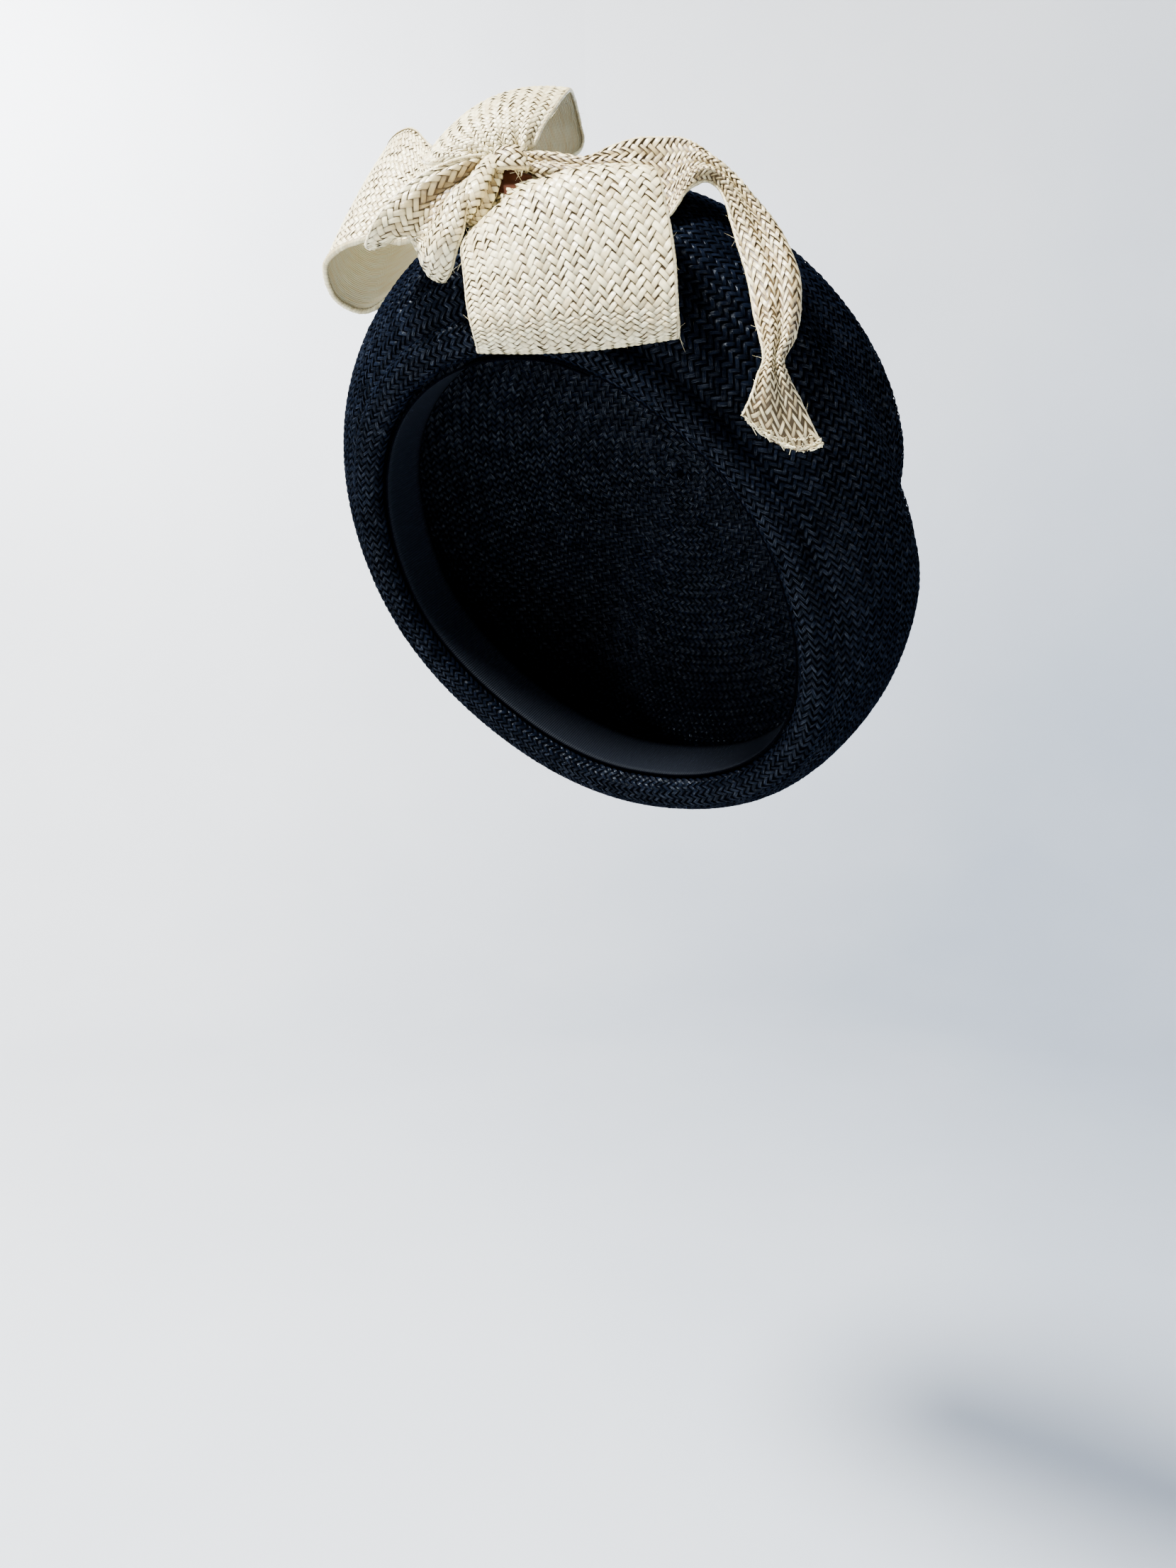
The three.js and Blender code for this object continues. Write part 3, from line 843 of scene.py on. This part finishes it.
def strands(paths, radius, rng, sides=3):
    """Thin strands that end in a point, each a tube along a row of points."""
    along = np.gradient(paths, axis=1)
    along = along / np.maximum(np.linalg.norm(along, axis=2, keepdims=True), 1e-6)
    side = np.cross(along, [0.31, 0.22, 0.92])
    side = side / np.maximum(np.linalg.norm(side, axis=2, keepdims=True), 1e-6)
    other = np.cross(along, side)
    ring = np.linspace(0, 2 * math.pi, sides + 1)[:, None]
    thin = np.broadcast_to(radius, len(paths))[:, None] * np.linspace(1, 0.3, paths.shape[1])
    turned = side[:, :, None] * np.cos(ring) + other[:, :, None] * np.sin(ring)
    points = paths[:, :, None] + turned * thin[..., None, None]
    a = np.linspace(-0.6, 0.6, paths.shape[1])
    b = np.linspace(-0.6, 0.6, sides + 1)
    uv = np.stack(np.meshgrid(a, b, indexing="ij"), axis=-1)
    return patches(points, rng.random(len(paths)), uv)


def stray(sheet, u, v, forward, sideways, outward, rng, steps=6):
    """Curved paths that leave a sheet at (u, v), by so many millimetres each way."""
    back, ahead = sheet.place(u - 0.01, v), sheet.place(u + 0.01, v)
    left, right = sheet.place(u, v - 0.02), sheet.place(u, v + 0.02)
    ways = [ahead - back, right - left, sheet.read(sheet.normal, u, v)]
    ways = [way / np.maximum(np.linalg.norm(way, axis=1, keepdims=True), 1e-6) for way in ways]
    far = sum(
        way * np.broadcast_to(mm, len(u))[:, None]
        for way, mm in zip(ways, (forward, sideways, outward))
    )
    t = np.linspace(0, 1, steps)[None, :, None]
    bend = rng.normal(0, 0.13, (len(u), 1, 3)) * np.linalg.norm(far, axis=1)[:, None, None]
    return sheet.place(u, v, 0.2)[:, None] + far[:, None] * t + bend * t**2


def edge_hairs(sheet, count, rng):
    """Fine fibres that have worked loose along both turned edges and here and there between."""
    u, v = rng.random(count), np.where(rng.random(count) < 0.5, 0.0, 1.0)
    v = np.where(rng.random(count) < 0.3, rng.random(count), v)
    size = rng.uniform(0.6, 3.6, count)
    sideways = size * np.where(v < 0.5, -1, 1) * rng.uniform(0.2, 1, count)
    forward = rng.normal(0, 1, count) * size
    outward = rng.normal(0, 0.5, count) * size
    paths = stray(sheet, u, v, forward, sideways, outward, rng)
    return strands(paths, rng.uniform(0.04, 0.08, count), rng)


# %% [markdown]
# ### Straw strips
#
# A loop of the bow shows three things: the straws on its right side, the fine smooth lining on its
# wrong side, and an edge where the outermost straws turn back. A solidified surface with a bump
# would have a sharp, clean edge. So each strip gets a thin cloth, columns of straws on the side
# that shows, short straws that wrap round both edges, and a few loose fibres. The tail shows
# straws on both of its sides. The straws in a deep fold, on the tail and on the narrow piece by
# the knot get a lower tone, which paints shade into their colour.

# %% Make every loop
def bow_strip(
    node,
    rows,
    held,
    name=None,
    width=BOW_WIDTH,
    outer=1,
    both=False,
    pleats=None,
    gathers=5,
    share=1.0,
    tip=0,
    hem=0.75,
    **straw,
):
    """A strip's thin cloth with its straws on the outer side, or on both, and its turned edges."""
    name = name or node
    sheet = strip_sheet(rows, width, pleats, gathers, tip)
    thin = Sheet(sheet.grid[::2, ::3])
    covered = (1, 1) if both else ((1, 0) if outer > 0 else (0, 1))
    faces = (thin.lifted(0.12), thin.lifted(-0.12))
    mesh = shell(f"{name}_shell", *faces, closed=False, covered=covered)
    base = make_piece(mesh, IVORY_BACKING, node)
    sides = (1, -1) if both else (outer,)
    parts = [columns_of_straw(sheet, rng, width, side, **straw) for side in sides]
    parts += [edge_straws(sheet, v, rng, hem) for v in (0.0, 1.0)]
    parts.append(edge_hairs(sheet, 60, rng))
    woven = woven_piece(f"{name}_straws", parts, IVORY, node)
    length = sheet.length()
    print(name, "is cut", width, "by", round(length), "mm")
    return sheet


def valley(u, v):
    """How far down in the fold beside the knot a straw lies, which sets its painted shade."""
    ripple = np.sin(math.pi * (PLEATS["count"] * v + PLEATS["shift"]))
    low = np.clip(VALLEY["from"] - ripple, 0, 1)
    return VALLEY["aged"] * low * np.exp(-((u / VALLEY["reach"]) ** 2))


bow_strip("front_loop", FRONT_LOOP, "gathered")
bow_strip("left_loop", LEFT_LOOP, "gathered", outer=-1, width=72, hem=1.2)
bow_strip("top_loop", TOP_LOOP, "gathered", outer=-1, width=68)
bow_strip("middle_loop", MIDDLE_LOOP, "gathered", pleats=PLEATS, width=45, shaded=valley)
tail = bow_strip(
    "tail",
    TAIL,
    "hung",
    width=30,
    both=True,
    gathers=2,
    share=0.75,
    tip=6,
    hem=0.5,
    slim=0.76,
    # The tail's straws all get a lower tone: painted shade that darkens the whole tail.
    aged=0.58,
    loose=0.2,
)

# %% [markdown]
# ### The frayed end of the tail
#
# The tail is cut off and not hemmed, so its straws come out of the plait there, and its edge is
# ragged and thicker than the cloth. Moving the points of the cloth would only make it wavy; the
# loose straws are strands of their own that lie across the cut and reach past it.

# %% Fray the tail
LYING = 60
LOOSE = 110
level = rng.normal(0, 0.9, (LYING, 1))
start = rng.uniform(-0.1, 0.85, (LYING, 1))
reach = rng.uniform(0.12, 0.3, (LYING, 1))
across = np.clip(start + reach * np.linspace(0, 1, 12), 0, 1)
near_cut = 1 - 0.006 * np.abs(rng.normal(0, 1, (LYING, 1)))
lying = tail.place(near_cut, across, level)
lying = lying + rng.normal(0, 0.3, lying.shape)
u, v = 1 - rng.uniform(0, 0.02, LOOSE), rng.random(LOOSE)
size = rng.gamma(1.5, 0.55, LOOSE)
sideways = rng.normal(0, 0.8, LOOSE) * size
outward = rng.normal(0, 0.35, LOOSE) * size
loose = stray(tail, u, v, size, sideways, outward, rng)
parts = [strands(lying, rng.uniform(0.2, 0.5, LYING), rng, 4)]
parts.append(strands(loose, rng.uniform(0.12, 0.4, LOOSE), rng))
woven_piece("tail_fray", parts, IVORY, "tail")

# %% [markdown]
# ## The knot
#
# The end of a strip is wound round the gathered middle of the bow. What shows of it is a plump
# fold that comes down in front, a narrow piece that crosses to the root of the tail, and a dark
# hollow under that. The body of the knot and the fold are rolls: a section is carried along a
# curve, as a tube would be, and grows small at both ends. The fold has a crease as well, whose
# straws are darkened with painted shade.

# %% Wind the knot
KNOT_BODY = [
    (-29.8, -22, 163.7, 5, 4),
    (-31.2, -23.5, 160.5, 9.5, 8),
    (-35.2, -28.2, 150.9, 11, 9),
    (-39, -33, 141, 9.5, 8),
    (-40.4, -34.6, 138, 4, 3),
]
KNOT_FOLD = [
    (-26.5, -35.5, 161, 4, 3),
    (-28, -40, 157.5, 7.5, 6),
    (-30.5, -44.5, 151.5, 9.5, 8),
    (-32.8, -48.5, 145, 11, 9.5),
    (-35.5, -51.5, 138, 11.5, 10),
    (-37.6, -53, 132.5, 9, 8),
    (-38.7, -53.5, 130, 3, 3),
]
KNOT_BRIDGE = [
    (-29.5, -42, 157, -85, -20, 7, 0),
    (-27, -45, 157, -85, -20, 9.5, -1),
    (-22.5, -47, 156.7, -85, -20, 10, -2),
    (-18.5, -47.5, 156.3, -80, -20, 10, -1),
    (-16, -46.5, 156, -78, -20, 8.5, 0),
]
KNOT_HOLLOW = [
    (-32, -41, 149, -85, -20, 11, 0),
    (-22, -45, 148.5, -85, -20, 11, 0),
    (-14, -46.5, 148, -85, -20, 6, 0),
]
# The crease of the knot's fold: where round the roll it lies, how deep and how wide it is, and how
# much painted shade its straws get.
CREASE = {"turn": 0.38, "depth": 0.4, "width": 0.05, "aged": 1.1}


def roll_sheet(rows, crease=None, along=61, around=49):
    """A roll along a curve of middles, with a width and a depth that change along it."""
    table = np.array(rows, float)
    at = np.linspace(0, 1, along)
    middle = spline(table[:, :3], at, 0.5)
    size = spline(table[:, 3:5], at, 0.0)
    ahead = np.gradient(middle, axis=0)
    side = np.cross(ahead, [0, -1, -0.3])
    side = side / np.linalg.norm(side, axis=1, keepdims=True)
    front = np.cross(side, ahead)
    front = front / np.linalg.norm(front, axis=1, keepdims=True)
    part = np.linspace(0, 1, around)[None]
    dent = np.ones((1, around))
    if crease:
        off = (part - crease["turn"]) / crease["width"]
        dent = 1 - crease["depth"] * np.exp(-(off**2))
    angle = 2 * math.pi * part
    across = -side[:, None] * (np.sin(angle) * dent * size[:, :1] / 2)[..., None]
    deep = -front[:, None] * (np.cos(angle) * dent * size[:, 1:] / 2)[..., None]
    return Sheet((middle[:, None] + across + deep) @ BOW_TO_FRAME.T)


def creased(u, v):
    """How far down in the crease of a roll a straw lies, which sets its painted shade."""
    return CREASE["aged"] * np.exp(-(((v - CREASE["turn"]) / CREASE["width"]) ** 2))


def roll(name, rows, width, crease=None, hairs=30):
    """A roll's thin cloth, its straws and a few loose fibres."""
    sheet = roll_sheet(rows, crease)
    middle = sheet.grid[30].mean(axis=0)
    outside = np.sign(np.sum(sheet.normal[30, 24] * (sheet.grid[30, 24] - middle)))
    faces = (sheet.lifted(-0.3 * outside), sheet.lifted(-0.9 * outside))
    make_piece(shell(f"{name}_shell", *faces, closed=False), IVORY_BACKING, "knot")
    shaded = creased if crease else None
    parts = [columns_of_straw(sheet, rng, width, outside, shaded=shaded, rise=0.5)]
    u, v = rng.random(hairs), rng.uniform(0.2, 0.8, hairs)
    forward, sideways = rng.normal(0, 2, hairs), rng.normal(0, 1, hairs)
    paths = stray(sheet, u, v, forward, sideways, rng.uniform(0, 1, hairs) * outside, rng)
    parts.append(strands(paths, rng.uniform(0.05, 0.1, hairs), rng))
    woven_piece(f"{name}_straws", parts, IVORY, "knot")


roll("knot_body", KNOT_BODY, 31)
roll("knot_fold", KNOT_FOLD, 31, CREASE)

# %% [markdown]
# ### From the knot to the tail
#
# A short, narrow piece of the strip crosses from the knot to the root of the tail. It was torn
# along its lower edge, where loose fibres hang, and under it the knot is hollow and in deep shade.
# Only a dark inner face can give that shade evenly from every side, so the hollow has its own.

# %% The piece that crosses to the tail and the hollow under it
bridge = bow_strip(
    "knot",
    KNOT_BRIDGE,
    "gathered",
    name="knot_bridge",
    width=11,
    both=True,
    gathers=2,
    slim=0.85,
    # Its straws get a lower tone too: painted shade that darkens this piece.
    aged=0.35,
)
count = 40
u, v = rng.uniform(0.1, 1, count), rng.uniform(0.9, 1.0, count)
size = rng.gamma(1.4, 1.0, count)
forward = rng.normal(0, 0.6, count) * size
torn = stray(bridge, u, v, forward, size, rng.normal(0, 0.4, count) * size, rng)
fibres = strands(torn, rng.uniform(0.1, 0.3, count), rng)
woven_piece("knot_torn_edge", [fibres], IVORY, "knot")

shaded_fold = Finish("shaded_fold").surface(
    {"Base Color": (0.055, 0.018, 0.008, 1), "Roughness": 0.85, "Specular IOR Level": 0.1}
)
thin = Sheet(strip_sheet(KNOT_HOLLOW, 16, gathers=2).grid[::4, ::4])
mesh = shell("knot_hollow", thin.lifted(0.3), thin.lifted(-0.3), closed=False)
make_piece(mesh, shaded_fold, "knot")

# %% [markdown]
# ## The ribbon inside the rim
#
# A corded ribbon, dyed like the straw, is sewn inside the rim and takes the wear of the head.
# Its cut end laps over its start. The cords are too fine and too regular to model one by one, so
# they are a bump: a sine along the length, with a little noise so that no two are quite alike.

# %% Ribbon
RIBBON = 1.0
RIBBON_GAP = 0.5
RIBBON_BAND = {"start": 52, "sweep": 374, "low": 6, "high": 31}
RIBBON_CORD = 1.1
RIBBON_WAVE = {"height": 0.25, "count": 9}


def ribbon_finish(length):
    finish = Finish("corded_ribbon")
    along, across = finish.coordinates()
    cords = (along * (2 * math.pi * length / RIBBON_CORD)).sine() * 0.5 + 0.5
    grain = finish.noise(finish.vector(along * 300.0, across * 14.0), 1.0)
    edge = (abs(across - 0.5) * 2.0) ** 14.0
    # The cords are painted lighter on their tops and darker between them, painted light and shade
    # over the bump, with a little random grain mixed in.
    ridge = (cords * 0.7 + grain * 0.3).limited()
    colour = finish.mix((0.0015, 0.002, 0.004, 1), (0.006, 0.008, 0.014, 1), ridge)
    sockets = {
        "Base Color": finish.mix(colour, (0.0008, 0.001, 0.002, 1), edge.limited()),
        "Roughness": (0.62 - cords * 0.12 + grain * 0.1).limited(),
        "Normal": finish.bump(cords * 0.8 + grain * 0.2 + edge * 0.6, 0.6, 0.0004),
        "Specular IOR Level": 0.0,
    }
    return finish.surface(sockets, (1 - edge) * 0.012, (0.8, 0.9, 1.0, 1))


def ribbon_sheet():
    part, up = np.meshgrid(np.linspace(0, 1, 541), np.linspace(0, 1, 9), indexing="ij")
    turn = RIBBON_BAND["start"] + RIBBON_BAND["sweep"] * part
    lap = RIBBON_BAND["sweep"] * part / 360 * (RIBBON + RIBBON_GAP)
    slack = RIBBON_WAVE["height"] * np.sin(np.radians(turn * RIBBON_WAVE["count"])) * up
    reach = around("rim", turn) - 2 * ROLL_RADIUS - RIBBON / 2 - RIBBON_GAP - lap - slack
    height = RIBBON_BAND["low"] + (RIBBON_BAND["high"] - RIBBON_BAND["low"]) * up
    angle = np.radians(turn)
    points = np.stack([np.sin(angle) * reach, -np.cos(angle) * reach, height], axis=-1)
    return Sheet(points @ HAT_TO_FRAME.T)


ribbon = ribbon_sheet()
mesh = shell("ribbon", ribbon.lifted(RIBBON / 2 - 0.1), ribbon.lifted(0.1 - RIBBON / 2), closed=False)
band = make_piece(mesh, ribbon_finish(ribbon.length()), "sweatband")
ribbon.length() * MM

# %% [markdown]
# ## Floor and light
#
# A pale floor sweeps up into a wall behind the hat, well clear of it, and stays flat in front,
# so that little light comes back from there and the dark straw stays dark. A round lamp from the
# front and above is the key, and a weak, wider one fills the shaded side. Two small, weak lamps
# put glints on the straws, which larger ones would blur. A fifth lights the wall, more on one
# side than on the other, and a pale world fills what is left.

# %% Stage and lamps
FLOOR = -0.62
STAGE_ROUND = 96


def stage():
    bend = np.linspace(0, math.pi / 2, 13)
    reach = np.concatenate([[0.001, 0.7, 1.3], 1.6 + 0.7 * np.sin(bend), [2.3]])
    height = np.concatenate([[0, 0, 0], 0.7 * (1 - np.cos(bend)), [2.6]])
    turn = np.linspace(0, 2 * math.pi, STAGE_ROUND + 1)[:, None]
    behind = np.clip((np.cos(turn) + 0.4) / 0.5, 0, 1)
    up = height * behind**2 * (3 - 2 * behind) + FLOOR
    grid = np.stack([np.sin(turn) * reach, np.cos(turn) * reach, up], axis=-1) @ BOW_TO_FRAME.T / MM
    # Painted light: the paper is painted lighter to the left and up the wall, and darker to the right
    # and on the floor, a fall of light drawn into its colour.
    painted_light = np.clip(0.55 - 0.42 * np.sin(turn) * reach + 0.36 * up, 0, 1)
    quads = grid_quads(*grid.shape[:2])[:, ::-1]
    mesh = make_mesh("floor", grid.reshape(-1, 3), quads, tone=painted_light.ravel())
    floor = bpy.data.objects.new("floor", mesh)
    bpy.context.collection.objects.link(floor)
    finish = Finish("pale_paper")
    grain = finish.noise(finish.position(), 3.0)
    pale = (finish.attribute("tone") + grain * 0.2 - 0.1).limited()
    paper = finish.mix((0.38, 0.44, 0.53, 1), (0.94, 0.96, 0.99, 1), pale)
    mesh.materials.append(finish.surface({"Base Color": paper, "Roughness": 0.9}))


def lamp(name, right, away, up, size, power, colour, aim=(0, 0, 0)):
    data = bpy.data.lights.new(name, "AREA")
    data.shape = "DISK"
    data.size = size
    data.energy = power
    data.color = colour
    light = bpy.data.objects.new(name, data)
    bpy.context.collection.objects.link(light)
    place = BOW_TO_FRAME @ np.array([right, away, up])
    light.location = place
    aim = BOW_TO_FRAME @ np.array(aim) - place
    light.rotation_euler = (
        math.atan2(math.hypot(aim[0], aim[1]), -aim[2]),
        0,
        math.atan2(aim[1], aim[0]) - math.pi / 2,
    )
    light.visible_camera = False


stage()
lamp("key", -0.8, -0.62, 1.5, 0.45, 218, (1, 0.975, 0.925))
lamp("fill", 1.3, -0.8, 0.3, 0.8, 8, (1, 0.985, 0.95))
lamp("left glint", -1.3, -0.9, 0.3, 0.15, 8, (0.9, 0.95, 1))
lamp("right glint", 0.9, -1.0, 0.5, 0.15, 1.5, (0.97, 0.985, 1))
lamp("ground", -1.1, 1.0, 1.4, 1.0, 72, (0.97, 0.98, 1), aim=(-1.5, 2.3, 1.5))
world = bpy.data.worlds.new("studio")
bpy.context.scene.world = world
world.use_nodes = True
world.node_tree.nodes["Background"].inputs["Color"].default_value = (0.86, 0.89, 0.95, 1)
world.node_tree.nodes["Background"].inputs["Strength"].default_value = 0.23
